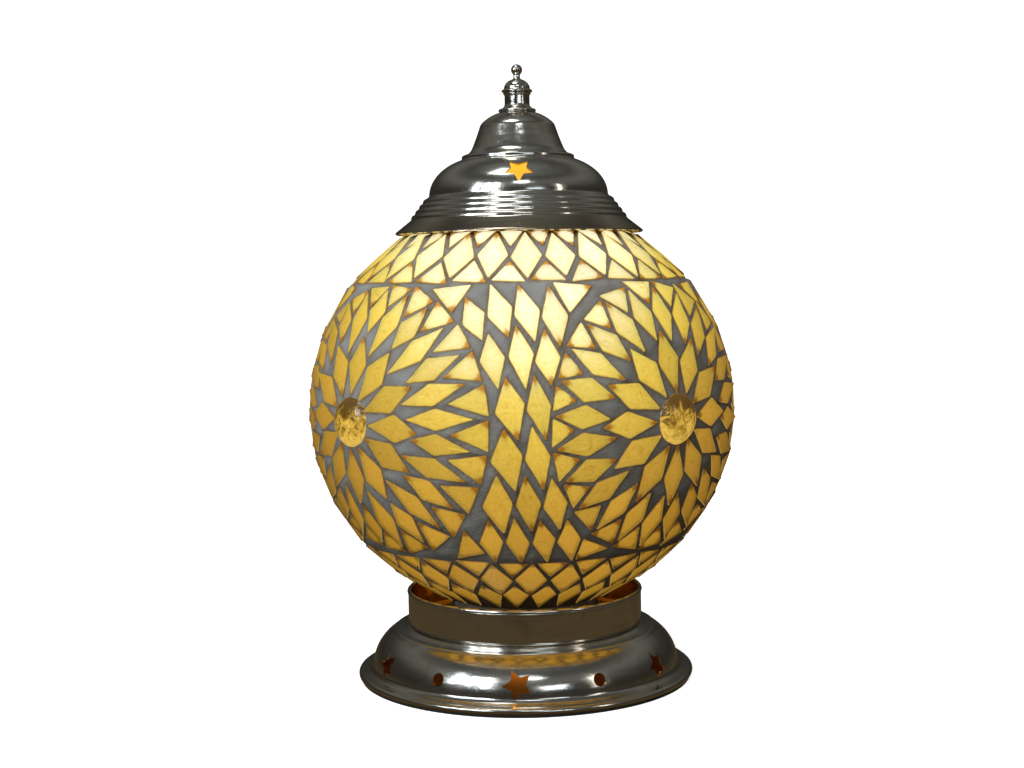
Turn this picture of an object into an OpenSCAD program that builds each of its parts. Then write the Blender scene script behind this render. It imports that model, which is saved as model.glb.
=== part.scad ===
// Mosaic glass table lamp: a lit globe of glass tiles between a pressed metal base and a pressed metal cap.
// Millimetres, +Z up, origin on the lamp's axis at the surface it stands on, front of the lamp towards -Y.

/* [Globe] */
// Outer radius of the blown glass globe at its equator
globe_r = 95; // [94:0.5:96]
// Height of the globe as a share of its width
squash = 0.957; // [0.94:0.005:0.97]
// Wall of the blown glass
glass_t = 2.6; // [2:0.1:3]
// Height of the globe's centre
globe_z = 126.5; // [126:0.5:127]
// Radius of the hole in the top of the globe
top_hole_r = 34; // [33:0.5:35]
// Inner radius of the neck below the globe
neck_r = 30.5; // [30.3:0.1:31]

/* [Mosaic] */
// Thickness of the bed that holds the tiles
bed_t = 1; // [0.5:0.1:1.2]
// Thickness of a glass tile
tile_t = 2.4; // [2:0.1:2.8]
// Azimuth of the first medallion, from the front towards +X
medallion_az = 41.6; // [35:0.1:50]
// Tiles around the globe in each row of the top and bottom bands
band_count = 28; // [26:1:28]
// Petals in the inner ring of a medallion
inner_petals = 12; // [10:1:12]
// How unevenly the tiles are cut, as a share
unevenness = 1; // [0:0.1:1.2]

/* [Base] */
// Radius of the rolled rim of the base
rim_r = 78.7; // [78:0.1:80]
// Outer radius of the collar around the globe's foot
collar_r = 55; // [54.5:0.1:55.5]
// Height of the collar's top edge
collar_top = 41.3; // [40:0.1:42]
// Stars around the skirt, with a round hole between each two
star_count = 6; // [4:1:8]
// Thickness of the sheet metal
sheet_t = 1; // [0.8:0.1:1.1]

/* [Cap] */
// Radius of the cap's rim
cap_rim_r = 57.5; // [57:0.1:58]
// Height of the cap's rim
cap_z = 207.4; // [207:0.1:208]
// Ribs around the cap
cap_ribs = 4; // [3:1:5]
// Stars around the cap
cap_star_count = 3; // [3:1:6]

/* [Light] */
// Height of the lampholder's mouth
holder_top = 118; // [114:1:120]
// Radius of the bulb
bulb_r = 27.5; // [25:0.5:28]

/* [Hidden] */
$fn = 96;
eps = 0.01;
gap = 0.3;

pad_t = 1;
bed_r = globe_r + bed_t;
bed_gap = 0.12;
tile_r = bed_r + 0.1;
medallion_count = 4;
medallion_step = 360 / medallion_count;
// Petals in the outer ring of each medallion, which the maker fitted by eye
outer_petals = [24, 25, 24, 26];
// Turn of each medallion about its own centre
medallion_turns = [3, -1, 2, -3.5];
band_step = 360 / band_count;
band_az = 2.3;
// Rows of each strip between medallions: tiles, elevation, azimuth of the middle, pitch, drop at the ends, lean
// of the middle tile, and how much more each tile to the left of it leans
strip_rows = [
    [4, 29.5, 1.2, 7.4, 0.9, 16, 7],
    [3, 17.3, 3.0, 6.8, 0.8, 7, 3],
    [2, 4.6, 4.0, 6.7, 0, 10, 0],
    [2, -7.8, 3.4, 6.7, 0, 9, 0],
    [3, -20.8, 4.4, 7.2, 0, 8, -3],
    [4, -32.3, 5.1, 7.6, 0, 8, -4]];
// Corner tiles of a medallion: azimuth from its centre, elevation, turn, length and base
corner_spots = [
    [27.6, 34.2, -80, 11.5, 12.5],
    [-27.2, 34.2, -101, 12.5, 13],
    [32.1, -34.5, 96, 11.4, 11.6],
    [-22.2, -35.2, -4, 11.5, 12.5]];

skirt_r = 72;
skirt_top = 25;
skirt_arc_r = 20;
skirt_arc_z = skirt_top - skirt_arc_r;
rim_bead_r = 1.6;
floor_t = 1.2;
floor_top = skirt_top + floor_t;
seat_top = 32.5;
gasket_t = 1.5;
neck_bottom = seat_top + gasket_t + 0.05;
neck_t = 2.6;
screw_ring_r = 44;
screw_count = 4;
earth_x = 20;
star_z = 12.2;
star_az = -3.3;
star_r = 6.9;
star_tilt = -14;
vent_r = 3;
grommet_az = star_az + 180 / star_count + 120;
grommet_bore_r = 3.4;
grommet_hole_r = 4.6;

nipple_r = 5;
nipple_bottom = 15;
nipple_top = holder_top - 40;
holder_r = 20;
holder_bottom = holder_top - 46;
holder_wall = 1.2;
thread_r = 13.5;
bulb_cap_r = 13.2;
bulb_cap_z = holder_top - 18;
bulb_z = holder_top + 47;

cap_t = 0.9;
cap_arc = [15, 224.5];
cap_top_z = 262.6;
stud_r = 2.9;
finial_z = cap_top_z + 0.2;

function unit(v) = v / norm(v);
function arc(c, rx, ry, from, to, steps) =
    [for (i = [0:steps]) let (a = from + (to - from) * i / steps) [c.x + rx * cos(a), c.y + ry * sin(a)]];
// Outline of a sheet of thickness t whose outer face follows path, with the sheet on the left of the path
function step_dir(path, i) = unit(path[i + 1] - path[i]);
function path_dir(path, i) = i == 0 ? step_dir(path, 0)
    : i == len(path) - 1 ? step_dir(path, i - 1)
    : unit(step_dir(path, i - 1) + step_dir(path, i));
function sheet(path, t) = concat(path,
    [for (i = [len(path) - 1:-1:0]) let (d = path_dir(path, i), p = path[i] + t * [-d.y, d.x])
        [max(0, p.x), p.y]]);
function uneven(seed, most) = unevenness * rands(-most, most, 1, seed)[0];

// Directions on the unit sphere: azimuth from the front towards +X, elevation above the equator
function facing(az, el) = [cos(el) * sin(az), -cos(el) * cos(az), sin(el)];
function north(az, el) = [-sin(el) * sin(az), sin(el) * cos(az), cos(el)];
function east(az) = [cos(az), sin(az), 0];
// The same about a medallion's centre: rho is the angle from it and turn the bearing, from east
function petal_facing(az, rho, turn) =
    cos(rho) * facing(az, 0) + sin(rho) * (cos(turn) * east(az) + [0, 0, sin(turn)]);
function petal_out(az, rho, turn) =
    -sin(rho) * facing(az, 0) + cos(rho) * (cos(turn) * east(az) + [0, 0, sin(turn)]);

// Stands children on the tile bed where it faces d, their +X along the direction along
module on_bed(d, along) {
    n = unit([d.x, d.y, d.z / squash]);
    flat = [along.x, along.y, along.z * squash];
    u = unit(flat - (flat * n) * n);
    v = cross(n, u);
    p = [tile_r * d.x, tile_r * d.y, tile_r * squash * d.z + globe_z];
    multmatrix([[u.x, v.x, n.x, p.x], [u.y, v.y, n.y, p.y], [u.z, v.z, n.z, p.z], [0, 0, 0, 1]]) children();
}

// A hand-cut diamond, its long way along X. The waist is where the two side corners sit, as a share of length
module diamond_tile(length, width, seed, waist = 0) {
    l = length * (1 + uneven(seed, 0.03));
    w = width * (1 + uneven(seed + 1, 0.035));
    x = waist * length;
    rotate([0, 0, uneven(seed + 2, 1.6)]) linear_extrude(tile_t)
        polygon([[l / 2, uneven(seed + 3, 0.4)], [x + uneven(seed + 4, 0.9), w / 2],
            [-l / 2, uneven(seed + 5, 0.4)], [x + uneven(seed + 6, 0.9), -w / 2]]);
}

// A hand-cut triangle with its point towards -X
module point_tile(length, base, seed) {
    l = length * (1 + uneven(seed, 0.04));
    b = base * (1 + uneven(seed + 1, 0.04));
    rotate([0, 0, uneven(seed + 2, 2)]) linear_extrude(tile_t)
        polygon([[-l * 2 / 3, uneven(seed + 3, 0.5)], [l / 3 + uneven(seed + 4, 0.5), -b / 2],
            [l / 3 + uneven(seed + 5, 0.5), b / 2]]);
}

// A five-pointed star with one point down
module star(r) {
    inner = 0.52;
    polygon([for (i = [0:9]) let (a = -90 + 36 * i, s = i % 2 == 0 ? r : r * inner) [s * cos(a), s * sin(a)]]);
}

module ring(r_out, r_in, z, h) {
    translate([0, 0, z]) difference() {
        cylinder(r = r_out, h = h);
        translate([0, 0, -eps]) cylinder(r = r_in, h = h + 2 * eps);
    }
}

module hex_nut(across, r_in, h) {
    difference() {
        cylinder(d = across / cos(30), h = h, $fn = 6);
        translate([0, 0, -eps]) cylinder(r = r_in, h = h + 2 * eps);
    }
}

module around(count, radius, first = 0) {
    for (i = [0:count - 1]) rotate([0, 0, first + i * 360 / count]) translate([radius, 0, 0]) children();
}

// Base

module rim_pad() {
    color("#1c1a18") ring(rim_r - 1.2, rim_r - 6, 0, pad_t);
}

module base_skirt() {
    bead = [rim_r - rim_bead_r, pad_t + rim_bead_r];
    dome = [skirt_r - skirt_arc_r, skirt_arc_z];
    outside = concat([[bead.x, pad_t + 2 * rim_bead_r], [skirt_r + 1.4, skirt_arc_z - 0.3]],
        arc(dome, skirt_arc_r, skirt_arc_r, 4, 60, 12), arc([60.6, 21.7], 1.6, 1.6, 40, 85, 3),
        [[58, 23.7], [56.2, 24.3], [collar_r - 0.2, skirt_top], [dome.x - 15, skirt_top]]);
    color("silver") difference() {
        rotate_extrude() {
            polygon(sheet(outside, sheet_t));
            translate(bead) circle(r = rim_bead_r, $fn = 32);
            translate([skirt_r - 1.2, pad_t]) square([rim_r - skirt_r - 0.4, 1]);
        }
        around(star_count, 0, star_az - 90) translate([skirt_r - 1.6, 0, star_z])
            rotate([90, 0, 90]) rotate([-20, 0, 0]) translate([0, 0, -6]) linear_extrude(14)
                rotate([0, 0, star_tilt]) star(star_r);
        around(star_count, 0, star_az - 90 + 180 / star_count) translate([skirt_r - 1.6, 0, star_z])
            rotate([0, 70, 0]) translate([0, 0, -6]) cylinder(r = vent_r, h = 14);
        rotate([0, 0, grommet_az - 90]) translate([skirt_r - 1.6, 0, star_z])
            rotate([0, 70, 0]) translate([0, 0, -6]) cylinder(r = grommet_hole_r, h = 14);
        around(screw_count, screw_ring_r, 45) translate([0, 0, skirt_top - 2 * sheet_t])
            cylinder(r = 2.1, h = 4 * sheet_t);
    }
}

module base_collar() {
    bead_r = 1.1;
    color("silver") difference() {
        rotate_extrude() {
            translate([nipple_r + 0.15, skirt_top]) square([collar_r - nipple_r - 1, floor_t]);
            translate([collar_r - floor_t, skirt_top]) square([floor_t, collar_top - skirt_top - bead_r]);
            translate([collar_r - floor_t + 0.5, collar_top - bead_r]) circle(r = bead_r, $fn = 24);
        }
        around(screw_count, screw_ring_r, 45) translate([0, 0, skirt_top - 1]) cylinder(r = 2.1, h = 4);
        around(8, 20, 22.5) translate([0, 0, skirt_top - 1]) cylinder(r = 4, h = 4);
        translate([earth_x, 0, skirt_top - 1]) cylinder(r = 1.6, h = 4);
    }
}

module collar_screws() {
    color("silver") around(screw_count, screw_ring_r, 45) {
        translate([0, 0, floor_top]) rotate_extrude()
            polygon(concat([[0, 0]], arc([0, 0], 3.8, 2.4, 0, 90, 8)));
        translate([0, 0, skirt_top - 6]) cylinder(r = 1.95, h = floor_t + 6 + eps);
    }
}

module collar_nuts() {
    color("silver") around(screw_count, screw_ring_r, 45)
        translate([0, 0, skirt_top - sheet_t - 3.2]) hex_nut(7, 2, 3.2);
}

module globe_seat() {
    color("#b8b09a") rotate_extrude()
        polygon([[neck_r - 2.6, floor_top], [neck_r + 5, floor_top], [neck_r + 5, seat_top],
            [neck_r - 0.9, seat_top], [neck_r - 0.9, seat_top + 6], [neck_r - 1.5, seat_top + 7],
            [neck_r - 2.6, seat_top + 7]]);
}

module seat_gasket() {
    color("#2a2622") ring(neck_r + 4, neck_r - 0.4, seat_top, gasket_t);
}

module nipple_tube() {
    color("goldenrod") ring(nipple_r, 3.5, nipple_bottom, nipple_top - nipple_bottom);
}

module nipple_nuts() {
    washer_t = 1.2;
    color("goldenrod") {
        translate([0, 0, skirt_top - washer_t - 4]) hex_nut(14, nipple_r, 4);
        translate([0, 0, floor_top + washer_t]) hex_nut(14, nipple_r, 4);
        translate([0, 0, holder_bottom - 3.2]) hex_nut(14, nipple_r, 3);
    }
}

module nipple_washers() {
    washer_t = 1.2;
    color("silver") {
        ring(10, nipple_r + 0.1, skirt_top - washer_t, washer_t);
        ring(10, nipple_r + 0.1, floor_top, washer_t);
    }
}

module cord_grommet() {
    flange_r = grommet_hole_r + 1.8;
    groove_r = grommet_hole_r - 0.1;
    color("#22201e") rotate([0, 0, grommet_az - 90]) translate([skirt_r - 1.6, 0, star_z]) rotate([0, 70, 0])
        translate([0, 0, -0.7]) rotate_extrude()
            polygon([[grommet_bore_r, -3], [flange_r, -3], [flange_r, -1.35], [groove_r, -1.35],
                [groove_r, 1.1], [flange_r, 1.1], [flange_r - 0.8, 2.6], [grommet_bore_r, 3]]);
}

module earth_tag() {
    color("goldenrod") translate([earth_x, 0, skirt_top - 0.8]) difference() {
        union() {
            cylinder(r = 3.6, h = 0.8);
            translate([0, -1.6, 0]) cube([13, 3.2, 0.8]);
        }
        translate([0, 0, -1]) cylinder(r = 1.7, h = 3);
    }
}

module earth_screw() {
    color("silver") translate([earth_x, 0, skirt_top - 0.8]) {
        translate([0, 0, -2]) difference() {
            cylinder(r = 3, h = 2);
            translate([-0.4, -4, -1]) cube([0.8, 8, 1.9]);
        }
        translate([0, 0, -eps]) cylinder(r = 1.5, h = 6);
    }
}

// Lampholder

module holder_cap() {
    color("#e8e4d8") rotate_extrude()
        polygon(concat([[nipple_r + 0.05, holder_bottom]],
            arc([nipple_r + 4, holder_bottom + 12], holder_r - nipple_r - 4, 12, -90, 0, 8),
            [[holder_r - 2, holder_bottom + 12], [holder_r - 3.4, holder_bottom + 7],
                [nipple_r + 4, holder_bottom + 2.4], [nipple_r + 0.05, holder_bottom + 2.4]]));
}

module holder_shell() {
    z = holder_bottom + 12;
    color("#e8e4d8") difference() {
        rotate_extrude() polygon([[holder_r, z], [holder_r, z + 14], [holder_r - 1.6, z + 16],
            [holder_r - 1.6, holder_top], [holder_r - 1.6 - holder_wall, holder_top],
            [holder_r - 1.6 - holder_wall, z + 15], [holder_r - holder_wall, z + 13.4],
            [holder_r - holder_wall, z]]);
        around(12, holder_r, 15) translate([0, 0, z + 4]) cylinder(r = 0.5, h = 8, $fn = 16);
    }
}

module holder_insert() {
    z = holder_bottom + 10;
    color("white") difference() {
        union() {
            translate([0, 0, z]) cylinder(r = 15.6, h = 11);
            translate([0, 0, z + 11]) cylinder(r = holder_r - holder_wall, h = 3);
        }
        translate([0, 0, z - 1]) cylinder(r = 2, h = 16);
        around(2, 9) translate([0, 0, z - 1]) cylinder(r = 2.6, h = 8);
    }
}

module holder_thread() {
    z = holder_bottom + 24;
    height = holder_top - z - 1;
    color("goldenrod") rotate_extrude()
        polygon(concat([for (i = [0:20]) [thread_r + 1.1 + 0.4 * (i % 2), z + i * height / 20]],
            [[thread_r, z + height], [thread_r, z]]));
}

module holder_contacts() {
    z = holder_bottom + 24;
    color("goldenrod") {
        translate([-8, -2.2, z]) cube([12, 4.4, 0.6]);
        translate([-8, -2.2, z + 0.6]) cube([1, 4.4, 1.2]);
    }
}

module terminal_screws() {
    color("silver") around(2, 9) translate([0, 0, holder_bottom + 10]) {
        translate([0, 0, -0.5]) cylinder(r = 2.4, h = 2);
        translate([0, 0, 1.5 - eps]) cylinder(r = 1.5, h = 5);
    }
}

// Bulb

module bulb_glass() {
    neck = 11.4;
    z = bulb_cap_z + 19;
    shoulder = 35;
    outside = concat([[neck, z]],
        [for (i = [1:10]) let (t = i / 10, s = (1 - cos(180 * t)) / 2)
            [neck + (bulb_r * cos(shoulder) - neck) * s, z + (bulb_z - bulb_r * sin(shoulder) - z) * t]],
        arc([0, bulb_z], bulb_r, bulb_r, -shoulder + 6, 90, 20));
    color("#fff3d6") rotate_extrude() polygon(sheet(outside, 0.8));
}

module bulb_screw_cap() {
    color("silver") rotate_extrude()
        polygon(concat([[6, bulb_cap_z], [bulb_cap_r - 2.4, bulb_cap_z + 1.6]],
            [for (i = [0:24]) [bulb_cap_r - 0.5 + 0.5 * sin(90 * i), bulb_cap_z + 3 + i * 14 / 24]],
            [[bulb_cap_r, bulb_cap_z + 20], [bulb_cap_r, bulb_cap_z + 21.5], [bulb_cap_r - 1, bulb_cap_z + 21],
                [bulb_cap_r - 1.6, bulb_cap_z + 3], [6, bulb_cap_z + 1]]));
}

module bulb_insulator() {
    color("#15120f") translate([0, 0, bulb_cap_z - 1.6]) difference() {
        cylinder(r1 = 4.5, r2 = 5.95, h = 3);
        translate([0, 0, -1]) cylinder(r = 2, h = 5);
    }
}

module bulb_contact() {
    color("#9a9a90") translate([0, 0, bulb_cap_z - 1.6]) rotate_extrude()
        polygon([[0, -1], [2.6, -0.6], [3, 0], [1.95, 0], [1.95, 2], [0, 2]]);
}

module bulb_stem() {
    color("#dfe8ea") rotate_extrude()
        polygon([[0, bulb_cap_z + 18], [8, bulb_cap_z + 18], [6, bulb_cap_z + 22], [3, bulb_cap_z + 30],
            [2.4, bulb_z - 16], [3, bulb_z - 14], [0, bulb_z - 14]]);
}

module bulb_filament() {
    coil_r = 10;
    color("#ffd27a") {
        for (s = [-1, 1]) translate([s * coil_r, 0, bulb_z - 22]) cylinder(r = 0.5, h = 22);
        for (s = [-1, 1]) translate([s * 2.8, 0, bulb_z - 22]) rotate([0, s * 90, 0])
            cylinder(r = 0.5, h = coil_r - 2.8);
        translate([0, 0, bulb_z]) intersection() {
            rotate_extrude() translate([coil_r, 0]) circle(r = 0.9, $fn = 16);
            translate([-20, -20, -2]) cube([40, 20, 4]);
        }
    }
}

// Globe

module globe_glass() {
    low = asin(-sqrt(1 - pow((neck_r + neck_t) / globe_r, 2)));
    high = acos(top_hole_r / globe_r);
    inner_r = globe_r - glass_t;
    inner_low = -acos(neck_r / inner_r);
    inner_high = acos(top_hole_r / inner_r);
    color("#f4e6c0") translate([0, 0, globe_z]) rotate_extrude()
        polygon(concat([[neck_r, neck_bottom - globe_z], [neck_r + neck_t, neck_bottom - globe_z]],
            arc([0, 0], globe_r, globe_r * squash, low, high, 48),
            arc([0, 0], inner_r, inner_r * squash, inner_high, inner_low, 48)));
}

module tile_bed() {
    low = -69.6;
    high = 66;
    color("#77746c") translate([0, 0, globe_z]) rotate_extrude()
        polygon(concat(arc([0, 0], bed_r, bed_r * squash, low, high, 48),
            arc([0, 0], globe_r + bed_gap, (globe_r + bed_gap) * squash, high, low, 48)));
}

module each_medallion() {
    for (m = [0:medallion_count - 1]) {
        $m = m;
        $az = medallion_az + m * medallion_step;
        children();
    }
}

module medallion_nuggets() {
    color("#c8922e") each_medallion() on_bed(facing($az, 0), north($az, 0)) rotate_extrude()
        polygon(concat([[0, 0], [9.2, 0]], arc([9.2, 1.4], 1.2, 1.4, -90, 0, 4),
            arc([0, 1.4], 10.4, 4.8, 6, 90, 10)));
}

module medallion_inner_petals() {
    color("#e3b450") each_medallion() for (i = [0:inner_petals - 1]) {
        seed = 1000 + 100 * $m + 7 * i;
        turn = medallion_turns[$m] + i * 360 / inner_petals + uneven(seed + 9, 2);
        rho = 14.7 + uneven(seed + 10, 0.4);
        on_bed(petal_facing($az, rho, turn), petal_out($az, rho, turn)) diamond_tile(25, 10.6, seed, 0.02);
    }
}

function outer_turn(m, i) = let (step = 360 / outer_petals[m]) medallion_turns[m] + (i + 0.5) * step;
// How nearly an outer petal lies behind an inner one, from 0 to 1
function behind(m, turn) = let (step = 360 / inner_petals, off = (turn - medallion_turns[m]) / step)
    max(0, 1 - abs(off - round(off)) * step / 8);

module medallion_outer_petals() {
    color("#e8bd5c") each_medallion() for (i = [0:outer_petals[$m] - 1]) {
        seed = 2000 + 200 * $m + 7 * i;
        turn = outer_turn($m, i) + uneven(seed + 9, 0.5);
        shift = 5.6 * behind($m, turn);
        rho = 26.9 + 0.9 * pow(sin(turn), 2) + shift / 3 + uneven(seed + 10, 0.3);
        length = 25.2 - shift;
        width = 247 / outer_petals[$m];
        on_bed(petal_facing($az, rho, turn), petal_out($az, rho, turn)) diamond_tile(length, width, seed);
    }
}

module medallion_points() {
    color("#ecc566") each_medallion() for (i = [0:outer_petals[$m] - 1]) {
        seed = 3000 + 200 * $m + 7 * i;
        turn = outer_turn($m, i) + 180 / outer_petals[$m] + uneven(seed + 9, 0.5);
        rho = 35.3 + 2.2 * cos(turn) + uneven(seed + 10, 0.2);
        length = 10 + 1.6 * cos(turn);
        base = 295 / outer_petals[$m] + 0.8 * cos(turn);
        on_bed(petal_facing($az, rho, turn), petal_out($az, rho, turn)) point_tile(length, base, seed);
    }
}

module corner_tiles() {
    color("#ecc566") each_medallion() for (i = [0:len(corner_spots) - 1]) {
        spot = corner_spots[i];
        az = $az + spot[0];
        on_bed(facing(az, spot[1]), east(az)) rotate([0, 0, spot[2] + 180])
            point_tile(spot[3], spot[4], 4000 + 40 * $m + 9 * i);
    }
}

module strip_diamonds() {
    color("#f0cb6c") each_medallion() for (r = [0:len(strip_rows) - 1]) {
        row = strip_rows[r];
        for (i = [0:row[0] - 1]) {
            seed = 5000 + 300 * $m + 40 * r + 8 * i;
            side = i - (row[0] - 1) / 2;
            az = $az - medallion_step / 2 + row[2] + side * row[3];
            el = row[1] - row[4] * pow(side, 2);
            on_bed(facing(az, el), north(az, el)) rotate([0, 0, row[5] - row[6] * side])
                diamond_tile(22.9, 9.9, seed, 0.01);
        }
    }
}

// A row of tiles around the globe, placed at elevation el with their +X up or down
module band(el, half_step, seed) {
    for (i = [0:band_count - 1]) {
        $seed = seed + 9 * i;
        az = band_az + (i + (half_step ? 0.5 : 0)) * band_step + uneven($seed + 7, 0.5);
        on_bed(facing(az, el), north(az, el)) children();
    }
}

module top_band_triangles() {
    color("#fbe08c") band(41.1, true, 6000) rotate([0, 0, 180]) point_tile(9.6, 13, $seed);
}

module top_band_diamonds() {
    color("#fbe08c") band(47.6, false, 6500) diamond_tile(26.4, 11.4, $seed);
}

module top_edge_triangles() {
    color("#fbe08c") band(56.6, true, 7000) point_tile(9.4, 9.6, $seed);
}

module bottom_band_triangles() {
    color("#c9952f") band(-41.6, true, 7500) point_tile(6.8, 10.3, $seed);
}

module bottom_band_diamonds() {
    color("#c08a2a") band(-47.6, false, 8000) diamond_tile(22, 9.9, $seed);
}

module bottom_edge_diamonds() {
    color("#a87320") band(-57.6, true, 8500) diamond_tile(20.4, 8.6, $seed, 0.06);
}

// Cap

function rib_path(from, to, count, height) = let (d = unit(to - from), out = [d.y, -d.x], steps = count * 8)
    [for (i = [1:steps]) from + (to - from) * i / steps + out * height * abs(sin(180 * count * i / steps))];

cap_path = concat([[cap_rim_r, cap_z], [cap_rim_r, cap_z + 0.5], [50, 213.8]],
    rib_path([50, 213.8], [42.6, 223.6], cap_ribs, 0.7),
    arc(cap_arc, 26.5, 18.4, 0, 65, 14),
    arc([25.2, 242.3], 1, 0.9, -50, 80, 5),
    [[23, 244], [21.6, 245.6], [20.9, 247.2], [19.2, 251.4], [17.6, 256]],
    [for (a = [5:12:89]) [8.5 + 8.9 * pow(cos(a), 1.5), 256.7 + 5.9 * pow(sin(a), 1.5)]],
    [[stud_r + gap, cap_top_z]]);

module cap_shell() {
    color("silver") difference() {
        rotate_extrude() polygon(sheet(cap_path, cap_t));
        around(cap_star_count, 0, -90) translate([37.1, 0, 234.8])
            rotate([90, 0, 90]) rotate([-47, 0, 0]) translate([0, 0, -8]) linear_extrude(16) star(6.9);
    }
}

module cap_spider() {
    z = 212.6;
    color("#b8b09a") difference() {
        union() {
            ring(49.3, 32, z, 0.8);
            ring(top_hole_r - 1, top_hole_r - 2, z - 8, 8 + eps);
        }
        around(6, 42) translate([0, 0, z - 1]) cylinder(r = 3.4, h = 3);
    }
}

module cap_felt() {
    color("#4a4038") ring(38.4, top_hole_r - 0.7, 211.75, 0.85);
}

module stud_washer() {
    color("silver") ring(7, stud_r + 0.2, cap_top_z - cap_t - 1.1, 1);
}

module stud_nut() {
    color("goldenrod") translate([0, 0, cap_top_z - cap_t - 5.2]) hex_nut(10, stud_r + 0.08, 4);
}

// Finial

module finial_ferrule() {
    z = finial_z;
    color("silver") rotate_extrude()
        polygon(concat([[stud_r + 0.3, z], [8.2, z]], arc([8, z + 0.8], 0.7, 0.8, -80, 80, 6),
            arc([8.3, z + 4], 2.5, 2.4, -110, -180, 6), [[5.8, z + 8]],
            arc([5.8, z + 8.5], 0.7, 0.5, -80, 90, 5), [[stud_r + 0.3, z + 9]]));
}

module finial_knob() {
    z = finial_z + 9.1;
    ball_z = 282.3;
    color("silver") rotate_extrude()
        polygon(concat([[0, z], [6.4, z]], arc([6.4, z + 0.7], 0.8, 0.7, -80, 80, 6),
            arc([1.2, z + 1.4], 4.9, 4.7, 0, 74, 8), [[1.6, z + 6.4], [1.5, 280]],
            arc([0, ball_z], 2.6, 2.6, -55, 90, 12)));
}

module finial_stud() {
    color("silver") translate([0, 0, cap_top_z - 9]) cylinder(r = stud_r, h = finial_z + 9.1 - cap_top_z + 9);
}

rim_pad();
base_skirt();
base_collar();
collar_screws();
collar_nuts();
globe_seat();
seat_gasket();
nipple_tube();
nipple_nuts();
nipple_washers();
cord_grommet();
earth_tag();
earth_screw();
holder_cap();
holder_shell();
holder_insert();
holder_thread();
holder_contacts();
terminal_screws();
bulb_glass();
bulb_screw_cap();
bulb_insulator();
bulb_contact();
bulb_stem();
bulb_filament();
globe_glass();
tile_bed();
medallion_nuggets();
medallion_inner_petals();
medallion_outer_petals();
medallion_points();
corner_tiles();
strip_diamonds();
top_band_triangles();
top_band_diamonds();
top_edge_triangles();
bottom_band_triangles();
bottom_band_diamonds();
bottom_edge_diamonds();
cap_shell();
cap_spider();
cap_felt();
stud_washer();
stud_nut();
finial_ferrule();
finial_knob();
finial_stud();
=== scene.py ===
"""Looks of the mosaic glass table lamp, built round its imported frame.

The sheet metal, the glass tiles, the grout and the gems are remade as finer meshes that stand for their CAD
nodes. Everything else keeps its CAD mesh and gets a procedural material. Lengths in the profiles, tables and
constants are millimetres, but heights and distances in the materials and places of the lights are metres.
"""

import math

import bmesh
import bpy
import numpy as np
from mathutils import Matrix, Vector, kdtree, noise


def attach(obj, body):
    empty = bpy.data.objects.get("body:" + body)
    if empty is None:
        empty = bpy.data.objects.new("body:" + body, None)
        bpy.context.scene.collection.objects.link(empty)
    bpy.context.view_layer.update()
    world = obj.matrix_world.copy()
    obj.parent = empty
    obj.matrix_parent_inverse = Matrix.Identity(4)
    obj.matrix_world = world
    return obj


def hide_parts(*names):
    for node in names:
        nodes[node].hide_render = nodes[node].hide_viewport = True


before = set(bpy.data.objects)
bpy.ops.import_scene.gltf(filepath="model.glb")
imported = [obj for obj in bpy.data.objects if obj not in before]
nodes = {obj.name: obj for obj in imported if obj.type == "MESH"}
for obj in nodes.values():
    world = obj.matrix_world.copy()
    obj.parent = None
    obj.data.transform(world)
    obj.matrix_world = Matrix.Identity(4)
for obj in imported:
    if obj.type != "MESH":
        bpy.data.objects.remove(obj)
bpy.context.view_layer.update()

MM = 0.001

# The globe: an ellipsoid of revolution, SQUASH as high as it is wide
GLOBE_Z = 126.5
SQUASH = 0.957
GLASS_R = 95.0
BED_R = 96.0
BED_ELEVATIONS = (-69.4, 65.8)  # where the bed of grout ends, in degrees
TILE_T = 2.4
MEDALLIONS = 4
MEDALLION_AZ = 41.6
NUGGET_R = 11.5
NUGGET_H = 6.6

TILE_NODES = [
    "medallion_inner_petals", "medallion_outer_petals", "medallion_points", "corner_tiles",
    "strip_diamonds", "top_band_triangles", "top_band_diamonds", "top_edge_triangles",
    "bottom_band_triangles", "bottom_band_diamonds", "bottom_edge_diamonds",
]


def add_object(name, data):
    thing = bpy.data.objects.new(name, data)
    bpy.context.scene.collection.objects.link(thing)
    return thing


def new_mesh(name, verts, faces):
    mesh = bpy.data.meshes.new(name)
    mesh.from_pydata(verts, [], faces)
    return mesh


# ---------------- camera


def make_camera():
    """The photograph's view: level with the lamp's upper half, looking slightly down."""
    data = bpy.data.cameras.new("camera")
    data.lens = 54.13
    data.sensor_width = 36.0
    cam = add_object("camera", data)
    pitch = Matrix.Rotation(math.radians(85.82), 4, "X")
    roll = Matrix.Rotation(math.radians(-0.9), 4, "Z")
    cam.matrix_world = Matrix.Translation((-0.0044, -0.720, 0.1895)) @ pitch @ roll
    bpy.context.scene.camera = cam


# ---------------- materials


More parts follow.
